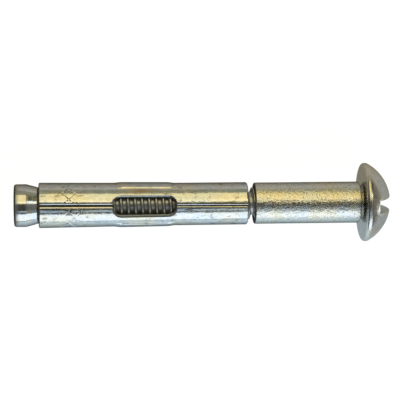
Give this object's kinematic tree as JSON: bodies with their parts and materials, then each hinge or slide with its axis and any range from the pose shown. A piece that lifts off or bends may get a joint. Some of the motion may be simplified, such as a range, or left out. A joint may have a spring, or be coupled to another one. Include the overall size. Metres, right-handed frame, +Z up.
{
  "type": "sleeve anchor",
  "caption": "Masonry sleeve anchor: slotted round-head screw, spacer tube, split expansion sleeve with a window on its seam, and a threaded cone nut at the tip.",
  "frame": {"origin": "on the floor, under the middle of the anchor's box as it lies at rest", "axes": "+X from the cone nut towards the head, +Z up; the sleeve's seam looks up"},
  "size_m": [0.0568, 0.0118, 0.0119],
  "materials": {
    "bolt": "bright zinc plate, rolled and headed",
    "cone_nut": "bright zinc plate, turned",
    "expansion_sleeve": "bright zinc plate on rolled sheet",
    "spacer_sleeve": "satin zinc plate with a yellow cast"
  },
  "bodies": {
    "sleeve": {"expansion_sleeve": "expansion_sleeve"},
    "bolt": {"bolt": "bolt"},
    "nut": {"cone_nut": "cone_nut"},
    "spacer": {"spacer_sleeve": "spacer_sleeve"}
  },
  "joints": [
    {"name": "bolt_turn", "type": "hinge", "parent": "sleeve", "child": "bolt", "pos_m": [0.02417, 0, 0.00592], "axis": [0.9987, 0, 0.0517], "range_deg": [0, 1440]},
    {"name": "nut_travel", "type": "slide", "parent": "sleeve", "child": "nut", "axis": [-0.9987, 0, -0.0517], "range_m": [0, 0.00423]},
    {"name": "spacer_slide", "type": "slide", "parent": "bolt", "child": "spacer", "axis": [0.9987, 0, 0.0517], "range_m": [-0.00098, 0.00024]}
  ],
  "couplings": [
    {"joint": "nut_travel", "follows": "bolt_turn", "m_per_rad": 0.00016844}
  ]
}
